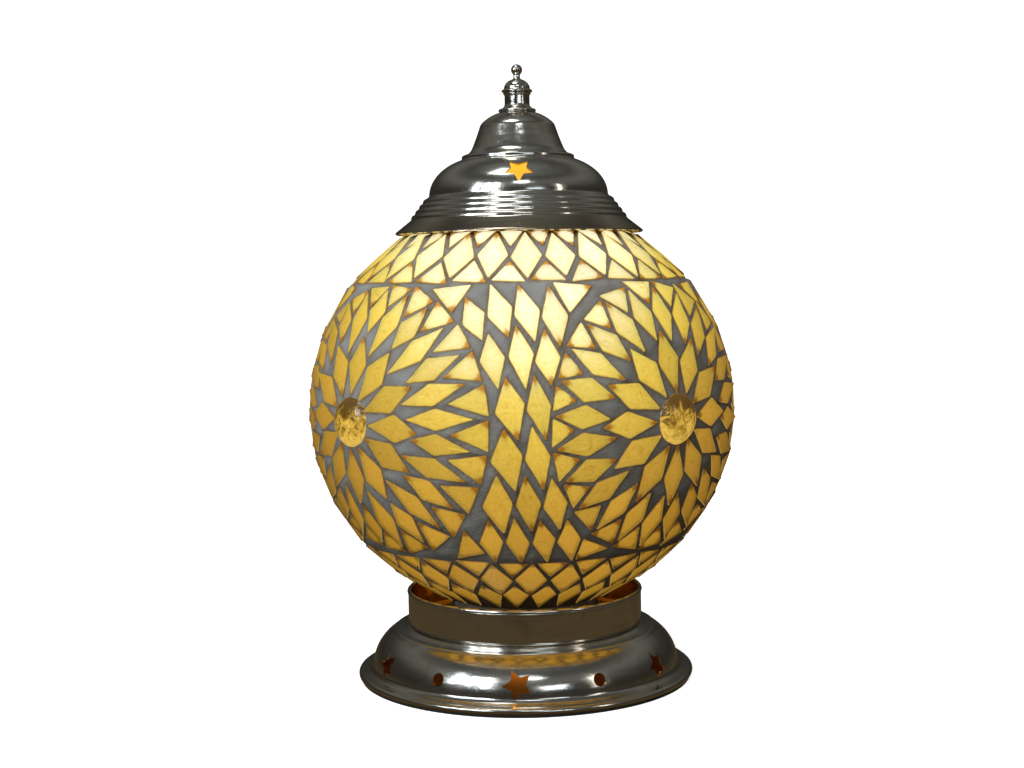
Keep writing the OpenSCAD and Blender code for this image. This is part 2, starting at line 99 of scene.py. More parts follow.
class Paint:
    """A material round one Principled shader, with short calls for the nodes that feed it."""

    def __init__(self, name, **constants):
        self.mat = bpy.data.materials.new(name)
        self.mat.use_nodes = True
        self.tree = self.mat.node_tree
        self.shader = self.tree.nodes["Principled BSDF"]
        for socket, value in constants.items():
            self.shader.inputs[socket.replace("_", " ")].default_value = value

    def node(self, kind, inputs=(), **settings):
        n = self.tree.nodes.new("ShaderNode" + kind)
        for key, value in settings.items():
            setattr(n, key, value)
        for key, value in dict(inputs).items():
            if isinstance(value, bpy.types.NodeSocket):
                self.tree.links.new(value, n.inputs[key])
            else:
                n.inputs[key].default_value = value
        return n

    def place(self):
        """Where a point is at rest, in metres."""
        return self.node("TexCoord").outputs["Object"]

    def moved(self, vector, by, amount):
        """The vector shifted by a share of a colour, so that each tile gets its own patch of the pattern."""
        shift = self.node("VectorMath", {0: by, "Scale": amount}, operation="SCALE").outputs[0]
        return self.node("VectorMath", {0: vector, 1: shift}, operation="ADD").outputs[0]

    def xyz(self, vector):
        return self.node("SeparateXYZ", {"Vector": vector}).outputs

    def times(self, a, b, clamp=False):
        return self.math("MULTIPLY", a, b, clamp)

    def stretched(self, vector, scale):
        return self.node("VectorMath", {0: vector, 1: scale}, operation="MULTIPLY").outputs[0]

    def noise(self, vector, size, detail=3.0, rough=0.5, warp=0.0):
        """Smooth noise from 0 to 1 with features about size millimetres across."""
        inputs = {"Vector": vector, "Scale": 1 / (size * MM), "Detail": detail}
        inputs |= {"Roughness": rough, "Distortion": warp}
        return self.node("TexNoise", inputs).outputs["Fac"]

    def cracks(self, vector, size):
        """Distance to the nearest line of a web of cells about size millimetres across."""
        inputs = {"Vector": vector, "Scale": 1 / (size * MM)}
        return self.node("TexVoronoi", inputs, feature="DISTANCE_TO_EDGE").outputs["Distance"]

    def math(self, operation, a, b=0.0, clamp=False):
        return self.node("Math", {0: a, 1: b}, operation=operation, use_clamp=clamp).outputs[0]

    def remap(self, value, low, high, to_low=0.0, to_high=1.0):
        inputs = {"Value": value, "From Min": low, "From Max": high, "To Min": to_low, "To Max": to_high}
        return self.node("MapRange", inputs).outputs["Result"]

    def mix(self, factor, a, b, blend="MIX"):
        """Two colours, each a socket or three numbers, mixed."""
        n = self.node("Mix", data_type="RGBA", blend_type=blend)
        for socket, value in (n.inputs["Factor"], factor), (n.inputs[6], a), (n.inputs[7], b):
            if isinstance(value, bpy.types.NodeSocket):
                self.tree.links.new(value, socket)
            else:
                socket.default_value = rgba(value) if isinstance(value, tuple) else value
        return n.outputs[2]

    def multiply(self, light, factor, colour):
        """The light darkened by the colour where the factor is high."""
        return self.mix(factor, light, colour, blend="MULTIPLY")

    def normal_z(self):
        """How far the surface faces up, from -1 to 1."""
        return self.xyz(self.node("NewGeometry").outputs["Normal"])["Z"]

    def ramp(self, value, stops):
        n = self.node("ValToRGB", {"Fac": value})
        set_stops(n.color_ramp, stops)
        return n.outputs["Color"]

    def attribute(self, name):
        """A mesh's colour attribute: the colour, and its three channels."""
        n = self.node("Attribute", attribute_name=name)
        split = self.node("SeparateColor", {"Color": n.outputs["Color"]})
        return n.outputs["Color"], split.outputs[0], split.outputs[1], split.outputs[2]

    def bump(self, height, distance, strength=1.0, under=None):
        """Relief of distance millimetres from a height of 0 to 1, over another relief if one is given."""
        inputs = {"Height": height, "Distance": distance * MM, "Strength": strength}
        if under is not None:
            inputs["Normal"] = under
        return self.node("Bump", inputs).outputs["Normal"]

    def feed(self, **links):
        for socket, value in links.items():
            self.tree.links.new(value, self.shader.inputs[socket.replace("_", " ")])
        return self.mat


def rgba(colour):
    return (*colour, 1.0)


def set_stops(ramp, stops):
    while len(ramp.elements) < len(stops):
        ramp.elements.new(0.5)
    for element, (position, colour) in zip(ramp.elements, stops):
        element.position, element.color = position, rgba(colour)


def round_axis(p):
    """Coordinates that run slowly round the lamp's axis and fast across it, for the marks of spinning."""
    x, y, z = p.xyz(p.place())
    around = p.times(p.math("ARCTAN2", x, y), 0.012)
    radius = p.math("SQRT", p.math("ADD", p.times(x, x), p.times(y, y)))
    return p.node("CombineXYZ", {"X": around, "Y": radius, "Z": z}).outputs[0]


def plated_metal():
    """Polished nickel over brass: fine scratches round the axis, a soft hand-spun waviness, a brown bloom in
    places and a painted brown reflection round the cap's low flare. The inner faces are bare brass, and those
    under the cap have a painted glow that stands in for the bulb's light."""
    p = Paint("plated_metal", Metallic=1.0, Emission_Color=rgba((1.0, 0.56, 0.05)))
    spun = round_axis(p)
    here = p.place()
    scratches = p.noise(spun, 0.35, detail=4.0, rough=0.65)
    waves = p.noise(spun, 5.0, detail=1.0)
    bloom = p.noise(here, 16.0, detail=5.0, rough=0.6, warp=0.6)
    spots = p.noise(here, 1.1, detail=3.0, rough=0.7)
    tint = p.mix(p.remap(bloom, 0.5, 0.75), (0.86, 0.83, 0.76), (0.62, 0.53, 0.39))
    tint = p.mix(p.remap(spots, 0.66, 0.74), tint, (0.30, 0.24, 0.17))
    outward = p.node("VectorMath", {0: p.stretched(here, (1, 1, 0))}, operation="NORMALIZE").outputs[0]
    normal = p.node("NewGeometry").outputs["Normal"]
    side = p.node("VectorMath", {0: normal, 1: outward}, operation="DOT_PRODUCT").outputs["Value"]
    height = p.xyz(here)["Z"]
    inside = p.times(p.remap(side, -0.20, -0.30), p.remap(height, 0.262, 0.261))
    tint = p.mix(inside, tint, (0.72, 0.38, 0.07))
    # painted reflection: the cap's low flare is tinted brown as if it mirrored warm light
    cap_flare_reflection = p.times(p.remap(height, 0.219, 0.209), p.remap(height, 0.1, 0.11))
    tint = p.mix(p.times(cap_flare_reflection, 0.75), tint, (0.50, 0.38, 0.23))
    # painted light: the inner faces under the cap glow orange as if the bulb lit them
    lit = p.times(inside, p.remap(height, 0.212, 0.216, 0.0, 0.85))
    scratched = p.remap(scratches, 0.35, 0.75, 0.10, 0.22)
    rough = p.math("ADD", scratched, p.remap(bloom, 0.45, 0.8, 0.0, 0.12))
    relief = p.bump(scratches, 0.010, under=p.bump(waves, 0.16))
    return p.feed(Base_Color=tint, Emission_Strength=lit, Roughness=rough, Normal=relief)


def dull_metal(name, light, dark, rough):
    """A plain metal with tarnish in patches and faint tool marks."""
    p = Paint(name, Metallic=1.0)
    here = p.place()
    patches = p.noise(here, 6.0, detail=4.0, rough=0.6)
    marks = p.noise(round_axis(p), 0.3, detail=3.0)
    tint = p.mix(p.remap(patches, 0.4, 0.72), light, dark)
    marked = p.remap(marks, 0.3, 0.7, rough - 0.07, rough + 0.07)
    uneven = p.math("ADD", marked, p.remap(patches, 0.3, 0.8, 0.0, 0.1))
    return p.feed(Base_Color=tint, Roughness=uneven, Normal=p.bump(marks, 0.02))


def plain_solid(name, light, dark, rough, relief, **constants):
    """Rubber, plastic, porcelain or felt: a base colour that varies a little, with a fine grain."""
    p = Paint(name, **constants)
    here = p.place()
    patches = p.noise(here, 9.0, detail=3.0)
    fine = p.noise(here, 0.4, detail=4.0, rough=0.65)
    tint = p.mix(p.remap(patches, 0.35, 0.7), light, dark)
    uneven = p.remap(fine, 0.3, 0.7, rough - 0.06, min(rough + 0.06, 1.0))
    return p.feed(Base_Color=tint, Roughness=uneven, Normal=p.bump(fine, relief))


def grout():
    """Matt sandy grey grout, darker in patches, with painted dark brown shade low on the globe, painted
    warmer light to its right, and browner by the glass, partly stain and partly painted contact shade.
    """
    p = Paint("grout")
    here = p.place()
    patches = p.noise(here, 14.0, detail=4.0, rough=0.6)
    sand = p.noise(here, 0.5, detail=4.0, rough=0.7)
    pits = p.noise(here, 1.6, detail=2.0)
    across, _, height = p.xyz(here)
    tint = p.mix(p.remap(patches, 0.35, 0.7), (0.285, 0.280, 0.262), (0.205, 0.192, 0.168))
    # painted light: dimmer and browner towards the right, as if lit warmer from that side
    tint = p.mix(p.remap(across, -0.01, 0.07, 0.0, 0.6), tint, (0.215, 0.182, 0.140))
    # painted shade: the grout turns dark brown low on the globe, above the collar
    tint = p.mix(p.remap(height, 0.080, 0.036, 0.0, 0.9), tint, (0.085, 0.058, 0.026))
    tint = p.mix(p.remap(sand, 0.35, 0.7, 0.0, 0.35), tint, (0.31, 0.30, 0.275))
    # brown next to the glass: partly stain, partly painted contact shade in the joints
    _, close, _, _ = p.attribute("wear_and_shade")
    stain_and_shade = p.times(close, p.remap(patches, 0.3, 0.6, 0.35, 0.9))
    tint = p.mix(stain_and_shade, tint, (0.13, 0.085, 0.035))
    relief = p.bump(sand, 0.12, under=p.bump(pits, 0.25))
    return p.feed(Base_Color=tint, Roughness=p.remap(sand, 0.3, 0.7, 0.75, 0.95), Normal=relief)


GLOW_REACH = (0.060, 0.160)
# painted light: the colour the tiles glow with, by distance from the bulb
GLOW_STOPS = [  # what a tile gives off against its distance from the bulb, over GLOW_REACH
    (0.00, (0.96, 0.98, 0.60)),
    (0.06, (0.86, 0.84, 0.40)),
    (0.17, (0.72, 0.69, 0.20)),
    (0.29, (0.61, 0.52, 0.100)),
    (0.39, (0.50, 0.39, 0.070)),
    (0.49, (0.41, 0.29, 0.050)),
    (0.60, (0.35, 0.22, 0.036)),
    (0.68, (0.28, 0.170, 0.026)),
    (0.74, (0.22, 0.125, 0.016)),
    (0.91, (0.08, 0.048, 0.004)),
    (1.00, (0.03, 0.018, 0.001)),
]
GLOW_CENTRE = (0.0, 25.0, 170.0)
GLOW_SHAPE = (1.25, 1.0, 1.15)  # how much faster it fades to the sides and downwards
# the reach of the painted white hot spot round the bulb
WHITE_REACH = (0.082, 0.057)  # where the white in the middle of the tiles starts and is full


def bulb_glow(p, here):
    """The painted light that stands in for the bulb's light through the glass at each place, and how near the
    bulb that is. The bulb throws more of it forward and back than to the sides."""
    x, y, z = p.xyz(here)
    folded = p.node("CombineXYZ", {"X": x, "Y": p.math("ABSOLUTE", y), "Z": z}).outputs[0]
    centre = tuple(v * k * MM for v, k in zip(GLOW_CENTRE, GLOW_SHAPE))
    ends = {0: p.stretched(folded, GLOW_SHAPE), 1: centre}
    away = p.node("VectorMath", ends, operation="DISTANCE").outputs["Value"]
    return p.ramp(p.remap(away, *GLOW_REACH), GLOW_STOPS), p.remap(away, *WHITE_REACH)


def tile_glass():
    """Amber glass in a painted glow for the light from behind: streaks, mottling, brown specks near the
    edges, brown stains in the tips, and painted shade and highlight at the rims.
    """
    p = Paint("tile_glass", IOR=1.35, Coat_Weight=0.08, Coat_Roughness=0.15, Emission_Strength=1.0)
    here = p.place()
    own, edge, tip, tone = p.attribute("wear_and_shade")
    patch = p.moved(here, own, 0.04)
    streaks = p.noise(p.stretched(patch, (1.0, 1.0, 2.2)), 3.2, detail=4.0, rough=0.6, warp=1.2)
    mottle = p.noise(patch, 0.9, detail=5.0, rough=0.7)
    grain = p.noise(patch, 1.5, detail=6.0, rough=0.85, warp=1.2)
    blotch = p.noise(patch, 6.0, detail=5.0, rough=0.65, warp=1.0)
    specks = p.noise(patch, 1.2, detail=6.0, rough=0.8, warp=1.5)

    stained = p.remap(p.math("ADD", mottle, tip), 0.75, 1.0)
    stain_and_shade = p.times(stained, p.remap(tip, 0.02, 0.25), clamp=True)
    # painted shade: the glow and the glass turn dark brown towards each tile's rim
    rim = p.remap(edge, 0.45, 0.85)
    # painted highlight: rims that face down are lit pale orange
    lit_rim = p.times(rim, p.remap(p.normal_z(), -0.15, -0.7, 0.0, 0.45), clamp=True)
    near_edge = p.math("MAXIMUM", p.remap(edge, 0.15, 0.6), tip)
    speckled = p.times(p.remap(specks, 0.52, 0.62), near_edge, clamp=True)
    # painted light: the glow of the bulb behind the glass, set by place
    light, near_bulb = bulb_glow(p, here)
    light = p.multiply(light, p.remap(streaks, 0.35, 0.68, 0.0, 0.45), (0.80, 0.73, 0.46))
    light = p.multiply(light, p.remap(mottle, 0.42, 0.62, 0.0, 0.6), (0.78, 0.71, 0.40))
    light = p.multiply(light, p.remap(blotch, 0.56, 0.70, 0.0, 0.6), (0.60, 0.42, 0.20))
    # painted hot spot: the middles of tiles near the bulb turn near white
    hot = p.times(p.remap(edge, 0.5, 0.0, 0.1, 0.9), near_bulb)
    light = p.mix(hot, light, (1.0, 1.02, 0.84))
    light = p.multiply(light, p.remap(grain, 0.51, 0.60, 0.0, 0.9), (0.66, 0.52, 0.22))
    light = p.multiply(light, speckled, (0.50, 0.34, 0.16))
    light = p.multiply(light, stain_and_shade, (0.36, 0.16, 0.025))
    light = p.multiply(light, rim, (0.34, 0.22, 0.10))
    light = p.mix(lit_rim, light, (0.80, 0.52, 0.12))
    bright = p.remap(tone, 0.0, 1.0, 0.86, 1.10)
    grey = p.node("CombineColor", {0: bright, 1: bright, 2: bright}).outputs[0]
    light = p.mix(1.0, light, grey, blend="MULTIPLY")

    mottled = p.remap(mottle, 0.45, 0.75, 0.0, 0.6)
    body = p.mix(mottled, (0.72, 0.47, 0.07), (0.58, 0.33, 0.035))
    body = p.mix(stain_and_shade, body, (0.40, 0.18, 0.02))
    # painted shade at the rim in the glass colour too
    body = p.mix(rim, body, (0.16, 0.10, 0.04))
    relief = p.bump(streaks, 0.14, under=p.bump(specks, 0.03))
    rough = p.remap(mottle, 0.3, 0.7, 0.24, 0.36)
    clear = p.times(p.remap(stain_and_shade, 0.0, 1.0, 0.8, 0.05), p.remap(rim, 0.0, 1.0, 1.0, 0.4))
    p.feed(Base_Color=body, Emission_Color=light, Transmission_Weight=clear)
    return p.feed(Roughness=rough, Normal=relief)


# painted glow of the gems, from bright amber to dark brown
NUGGET_STOPS = [(0.34, (0.74, 0.48, 0.085)), (0.50, (0.46, 0.27, 0.035)), (0.64, (0.10, 0.05, 0.006))]


def nugget_glass():
    """Amber gem: clear glossy skin over a brown crackle, in a painted glow that is darkest, as painted shade,
    on its upper side away from the floor.
    """
    skin = {"Coat_Weight": 1.0, "Coat_Roughness": 0.04}
    p = Paint("nugget_glass", Transmission_Weight=0.25, IOR=1.5, Emission_Strength=1.0, **skin)
    here = p.place()
    web = p.cracks(p.stretched(here, (0.8, 0.8, 2.4)), 1.2)
    clouds = p.noise(here, 5.0, detail=5.0, rough=0.7, warp=1.5)
    # painted shade: the upper side is darker and the lower side brighter
    shade = p.math("ADD", clouds, p.remap(p.normal_z(), -0.5, 0.5, -0.16, 0.18))
    light = p.ramp(shade, NUGGET_STOPS)
    hatched = p.times(p.remap(web, 0.12, 0.02), p.remap(shade, 0.42, 0.60))
    light = p.mix(p.times(hatched, 0.85), light, (0.03, 0.015, 0.003))
    body = p.mix(p.remap(shade, 0.35, 0.7), (0.34, 0.20, 0.02), (0.06, 0.03, 0.006))
    p.feed(Base_Color=body, Emission_Color=light)
    return p.feed(Roughness=p.remap(clouds, 0.3, 0.7, 0.10, 0.25), Normal=p.bump(clouds, 0.35))


def bulb_glass():
    """Frosted bulb, lit: brighter round its middle than at its neck."""
    p = Paint("bulb_glass", Roughness=0.4, Emission_Strength=1.0)
    height = p.xyz(p.place())["Z"]
    frost = p.noise(p.place(), 1.0, detail=4.0)
    light = p.mix(p.remap(height, 0.120, 0.150), (0.60, 0.42, 0.20), (1.0, 0.86, 0.50))
    light = p.mix(p.remap(frost, 0.3, 0.7, 0.0, 0.12), light, (0.8, 0.62, 0.38))
    return p.feed(Emission_Color=light, Base_Color=light)


def clear_glass(name, colour, alpha, rough=0.06):
    """Thin clear glass that light passes through."""
    p = Paint(name, Alpha=alpha, IOR=1.45)
    ripple = p.noise(p.place(), 14.0, detail=2.0)
    fine = p.noise(p.place(), 1.0, detail=3.0)
    tint = p.mix(p.remap(ripple, 0.3, 0.7), colour, tuple(0.86 * c for c in colour))
    uneven = p.remap(fine, 0.3, 0.7, rough, rough + 0.08)
    return p.feed(Base_Color=tint, Roughness=uneven, Normal=p.bump(ripple, 0.3))


def filament():
    """Tungsten wire, white-hot in places."""
    p = Paint("filament", Metallic=1.0, Roughness=0.4, Emission_Strength=30.0)
    heat = p.noise(p.place(), 2.0, detail=2.0)
    light = p.mix(heat, (1.0, 0.62, 0.24), (1.0, 0.80, 0.46))
    wire = p.mix(heat, (0.4, 0.38, 0.36), (0.5, 0.47, 0.43))
    return p.feed(Emission_Color=light, Base_Color=wire)


SOLIDS = [  # slot, two colours, roughness and depth of the grain
    ("pad_rubber", (0.030, 0.027, 0.024), (0.018, 0.016, 0.015), 0.75, 0.03),
    ("gasket_rubber", (0.09, 0.075, 0.06), (0.055, 0.045, 0.038), 0.7, 0.03),
    ("holder_plastic", (0.80, 0.75, 0.64), (0.72, 0.66, 0.54), 0.42, 0.01),
    ("porcelain", (0.88, 0.86, 0.80), (0.80, 0.77, 0.70), 0.5, 0.02),
    ("black_glass", (0.02, 0.018, 0.016), (0.04, 0.034, 0.03), 0.2, 0.01),
]
METALS = [  # slot, two colours and roughness
    ("seat_metal", (0.56, 0.53, 0.46), (0.34, 0.29, 0.22), 0.38),
    ("brass", (0.78, 0.56, 0.22), (0.50, 0.32, 0.11), 0.28),
    ("steel", (0.62, 0.62, 0.62), (0.42, 0.40, 0.37), 0.32),
    ("bulb_metal", (0.80, 0.79, 0.77), (0.60, 0.58, 0.55), 0.25),
]


def make_materials():
    """One material for each slot."""
    felt = plain_solid("felt", (0.16, 0.12, 0.09), (0.10, 0.075, 0.055), 0.92, 0.25, Sheen_Weight=0.5)
    return {
        **{row[0]: plain_solid(*row) for row in SOLIDS},
        **{row[0]: dull_metal(*row) for row in METALS},
        "felt": felt,
        "plated_metal": plated_metal(),
        "bulb_glass": bulb_glass(),
        "stem_glass": clear_glass("stem_glass", (0.9, 0.93, 0.92), 0.35),
        "globe_glass": clear_glass("globe_glass", (0.96, 0.90, 0.78), 0.12, rough=0.12),
        "filament": filament(),
        "grout": grout(),
        "tile_glass": tile_glass(),
        "nugget_glass": nugget_glass(),
    }


CAD_NODES = {  # slot and the nodes that keep their CAD mesh
    "pad_rubber": ["rim_pad"],
    "gasket_rubber": ["cord_grommet", "seat_gasket"],
    "seat_metal": ["globe_seat", "cap_spider"],
    "felt": ["cap_felt"],
    "holder_plastic": ["holder_cap", "holder_shell"],
    "porcelain": ["holder_insert"],
    "brass": [
        "holder_thread", "holder_contacts", "terminal_screws", "nipple_tube", "nipple_nuts", "stud_nut",
        "earth_screw",
    ],
    "steel": ["nipple_washers", "collar_screws", "collar_nuts", "earth_tag", "stud_washer", "finial_stud"],
    "bulb_glass": ["bulb_glass"],
    "bulb_metal": ["bulb_screw_cap", "bulb_contact"],
    "black_glass": ["bulb_insulator"],
    "stem_glass": ["bulb_stem"],
    "filament": ["bulb_filament"],
    "globe_glass": ["globe_glass"],
}


# ---------------- pieces


def add_piece(name, mesh, body, slot, stands_for, sharp=None):
    """Puts a mesh in the scene as a piece that stands for CAD nodes and rides on a body."""
    mesh.validate()
    mesh.materials.clear()
    mesh.materials.append(MATERIALS[slot])
    mesh.polygons.foreach_set("use_smooth", [True] * len(mesh.polygons))
    if sharp is not None:
        mesh.set_sharp_from_angle(angle=math.radians(sharp))
    piece = add_object(name, mesh)
    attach(piece, body)
    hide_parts(*stands_for)


def facing(az, el):
    """Unit vector at azimuth az from the front towards +X and elevation el, in degrees."""
    a, e = math.radians(az), math.radians(el)
    return Vector((math.cos(e) * math.sin(a), -math.cos(e) * math.cos(a), math.sin(e)))


def medallion(m):
    """The ways out of the globe and to the side at a medallion's middle."""
    out = facing(MEDALLION_AZ + 360 / MEDALLIONS * m, 0)
    return out, Vector((0, 0, 1)).cross(out)


# ---------------- sheet metal

LATHE_STEPS = 288
SAME_POINT = 1e-6  # metres
CAP_SHEET = 0.9
SKIRT_SHEET = 1.0
STAR_R = 6.9
STAR_INNER = 0.52
STAR_POINTS = 5
CAP_STARS = 3
SKIRT_STARS = 6
VENT_R = 3.0
CORD_HOLE = 2  # which of the skirt's round holes takes the cord's bush
CORD_HOLE_R = 4.6
SCREW_RING_R = 44.0
SCREW_HOLE_R = 2.1
COLLAR_VENTS = 8
COLLAR_VENT_R = 4.0
COLLAR_RING_R = 20.0


def arc(cx, cz, rx, rz, start, stop, steps):
    """Points (r, z) along an arc of an ellipse, angles in degrees."""
    turns = np.radians(np.linspace(start, stop, steps + 1))
    return [(cx + rx * math.cos(t), cz + rz * math.sin(t)) for t in turns]


def distances(path):
    """How far along the path each of its points is."""
    return np.concatenate([[0], np.cumsum(np.linalg.norm(np.diff(path, axis=0), axis=1))])


def at_distances(path, run, wanted):
    return np.stack([np.interp(wanted, run, path[:, i]) for i in (0, 1)], axis=1)


def softened(path, spacing, passes):
    """A path with points at an even spacing and its corners rounded a little. Its two ends stay."""
    path = np.array(path, float)
    run = distances(path)
    path = at_distances(path, run, np.linspace(0, run[-1], max(2, int(run[-1] / spacing) + 1)))
    for _ in range(passes):
        path[1:-1] = 0.25 * path[:-2] + 0.5 * path[1:-1] + 0.25 * path[2:]
    return path


def left_of(path, distance):
    """The path moved to its left, as the second face of a sheet."""
    along = np.gradient(path, axis=0)
    along /= np.linalg.norm(along, axis=1)[:, None]
    moved = path + distance * np.stack([-along[:, 1], along[:, 0]], axis=1)
    moved[:, 0] = np.maximum(moved[:, 0], 0.0)
    return moved


def cleaned(mesh, merge=None):
    """The mesh with points closer than merge metres joined and every face turned outwards."""
    bm = bmesh.new()
    bm.from_mesh(mesh)
    if merge:
        bmesh.ops.remove_doubles(bm, verts=bm.verts, dist=merge)
    bmesh.ops.recalc_face_normals(bm, faces=bm.faces)
    bm.to_mesh(mesh)
    bm.free()
    return mesh


def lathe(name, outline, wobble, seed):
    """A closed outline of (r, z) points turned about the axis, out of round by about wobble millimetres."""
    outline = np.array(outline, float)
    turns = np.linspace(0, 2 * math.pi, LATHE_STEPS, endpoint=False)
    rng = np.random.default_rng(seed)
    swell = sum(wobble / k * np.cos(k * turns + rng.uniform(0, 2 * math.pi)) for k in (2, 3, 5, 8))
    radius = outline[None, :, 0] + swell[:, None] * np.clip(outline[None, :, 0] / 30.0, 0, 1)
    x, y = radius * np.cos(turns)[:, None], radius * np.sin(turns)[:, None]
    z = np.broadcast_to(outline[None, :, 1], x.shape)
    verts = np.stack([x, y, z], axis=2).reshape(-1, 3) * MM
    n = len(outline)
    faces = []
    for i in range(LATHE_STEPS):
        a, b = i * n, (i + 1) % LATHE_STEPS * n
        for j in range(n):
            k = (j + 1) % n
            faces.append((a + j, b + j, b + k, a + k))
    return cleaned(new_mesh(name, verts.tolist(), faces), SAME_POINT)


def band(low, high, n):
    """The quads between two rings of n points that start at those numbers."""
    ring = [(i, (i + 1) % n) for i in range(n)]
    return [(low + i, low + k, high + k, high + i) for i, k in ring]


def prism(middle, side, up, out, points, reach):
    """The two end rings, in metres, of a prism to cut with."""
    return [[(middle + out * d + side * u + up * v) * MM for u, v in points] for d in (-reach, reach)]


def punch(az, radius, z, tilt, points):
    """A prism with its middle at that radius and height, pointing outwards and tilt degrees upwards."""
    out = facing(az, tilt)
    side = Vector((math.cos(math.radians(az)), math.sin(math.radians(az)), 0.0))
    return prism(facing(az, 0.0) * radius + Vector((0, 0, z)), side, out.cross(side), out, points, 8.0)


def drill(turn, radius, z, size):
    """An upright round prism at that turn about the axis from +X."""
    middle = Matrix.Rotation(math.radians(turn), 4, "Z") @ Vector((radius, 0.0, z))
    return prism(middle, *Matrix.Identity(3), circle_points(size), 3.0)


def star_points(turn):
    """A star with one point down, turned that many degrees."""
    corners = range(2 * STAR_POINTS)
    angles = [math.radians(-90 + 180 / STAR_POINTS * i + turn) for i in corners]
    sizes = [STAR_R * (1.0 if i % 2 == 0 else STAR_INNER) for i in corners]
    return [(s * math.cos(a), s * math.sin(a)) for s, a in zip(sizes, angles)]


def circle_points(radius, count=40):
    turns = np.linspace(0, 2 * math.pi, count, endpoint=False)
    return [(radius * math.cos(t), radius * math.sin(t)) for t in turns]


def cut(mesh, punches):
    """The mesh with every punch cut out of it."""
    verts, faces = [], []
    for low, high in punches:
        first, n = len(verts), len(low)
        verts += low + high
        faces += [tuple(first + i for i in reversed(range(n))), tuple(first + n + i for i in range(n))]
        faces += band(first, first + n, n)
    tool = add_object("punches", cleaned(new_mesh("punches", verts, faces)))
    blank = add_object("blank", mesh)
    boolean = blank.modifiers.new("cut", "BOOLEAN")
    boolean.operation, boolean.object, boolean.solver = "DIFFERENCE", tool, "MANIFOLD"
    holed = bpy.data.meshes.new_from_object(blank.evaluated_get(bpy.context.evaluated_depsgraph_get()))
    for o in blank, tool:
        bpy.data.objects.remove(o)
    return holed


def cap_profile():
    """The cap's outer face from its rim to the hole in its peak: flare, ribs, dome, groove and bell."""
    path = [(57.5, 207.4), (57.5, 207.9), (50.0, 213.8)]
    foot, top, ribs, rib_height = np.array((50.0, 213.8)), np.array((42.6, 223.6)), 4, 0.75
    out = np.array((top[1] - foot[1], foot[0] - top[0])) / np.linalg.norm(top - foot)
    for t in np.linspace(0.025, 1, 40):
        x, z = foot + (top - foot) * t + out * rib_height * abs(math.sin(ribs * math.pi * t))
        path.append((x, z))
    path += arc(15.0, 224.5, 26.5, 18.4, 0, 65, 40)
    path += arc(25.2, 242.3, 1.0, 0.9, -50, 80, 8)
    path += [(23.0, 244.0), (21.6, 245.6), (20.9, 247.2), (19.2, 251.4), (17.6, 256.0)]
    for a in np.radians(np.linspace(4, 89, 24)):
        path.append((8.5 + 8.9 * math.cos(a) ** 1.5, 256.7 + 5.9 * math.sin(a) ** 1.5))
    path.append((3.2, 262.6))
    return path


def both_faces(path, sheet):
    """The outer face of a sheet softened as points in turn, and its inner face."""
    inner = left_of(softened(path, spacing=0.9, passes=3), sheet)
    return softened(path, spacing=0.42, passes=2), inner


def add_metal(node, body, mesh, sharp):
    add_piece(node + "_fine", mesh, body, "plated_metal", [node], sharp)


def make_cap():
    outer, inner = both_faces(cap_profile(), CAP_SHEET)
    blank = lathe("cap_shell_fine", np.concatenate([outer, inner[::-1]]), wobble=0.09, seed=3)
    stars = [punch(360 / CAP_STARS * i, 37.1, 234.8, 47, star_points(0)) for i in range(CAP_STARS)]
    add_metal("cap_shell", "cap", cut(blank, stars), sharp=40)


def make_skirt():
    """The skirt: dome, rolled rim and the flat under the collar, with its stars, vents and screw holes."""
    top = [(77.1, 4.2), (73.4, 4.7)] + arc(52, 5, 20, 20, 4, 60, 40) + arc(60.6, 21.7, 1.6, 1.6, 40, 85, 10)
    top += [(58.0, 23.7), (56.2, 24.3), (54.8, 25.0), (37.0, 25.0)]
    outer, inner = both_faces(top, SKIRT_SHEET)
    inner = inner[inner[:, 0] < 75.0]
    hem = [(75.6, 3.2), (75.55, 2.0), (70.8, 2.0), (70.8, 1.0)]
    bead = arc(77.1, 2.6, 1.6, 1.6, -90, 88, 22)
    outline = np.concatenate([outer, inner[::-1], hem, bead])
    blank = lathe("base_skirt_fine", outline, wobble=0.10, seed=5)
    step, punches = 360 / SKIRT_STARS, []
    for i in range(SKIRT_STARS):
        punches.append(punch(-3.3 + step * i, 70.4, 12.2, 20, star_points(-14)))
    for i in range(SKIRT_STARS):
        vent = circle_points(CORD_HOLE_R if i == CORD_HOLE else VENT_R)
        punches.append(punch(26.7 + step * i, 70.4, 12.2, 20, vent))
    punches += [drill(45 + 90 * i, SCREW_RING_R, 25.0, SCREW_HOLE_R) for i in range(4)]
    add_metal("base_skirt", "base", cut(blank, punches), sharp=40)


def make_collar():
    """The collar: a drum with a beaded edge, its floor pierced for air, the screws and the tube."""
    wall = [(37.5, 25.05), (53.4, 25.05), (54.6, 25.3), (55.0, 26.1), (55.0, 39.2)]
    bead = arc(54.3, 40.2, 1.1, 1.1, -52, 228, 26)
    inside = [(53.7, 39.0), (53.8, 26.9), (53.1, 26.2), (2.0, 26.2), (2.0, 25.05)]
    wall, inside = softened(wall, spacing=0.6, passes=1), softened(inside, spacing=0.9, passes=1)
    blank = lathe("base_collar_fine", np.concatenate([wall, bead, inside]), wobble=0.06, seed=7)
    step = 360 / COLLAR_VENTS
    holes = [(step / 2 + step * i, COLLAR_RING_R, COLLAR_VENT_R) for i in range(COLLAR_VENTS)]
    holes += [(45 + 90 * i, SCREW_RING_R, SCREW_HOLE_R) for i in range(4)]
    holes += [(0.0, COLLAR_RING_R, 1.6), (0.0, 0.0, 5.3)]
    punches = [drill(turn, radius, 25.6, size) for turn, radius, size in holes]
    add_metal("base_collar", "base", cut(blank, punches), sharp=40)


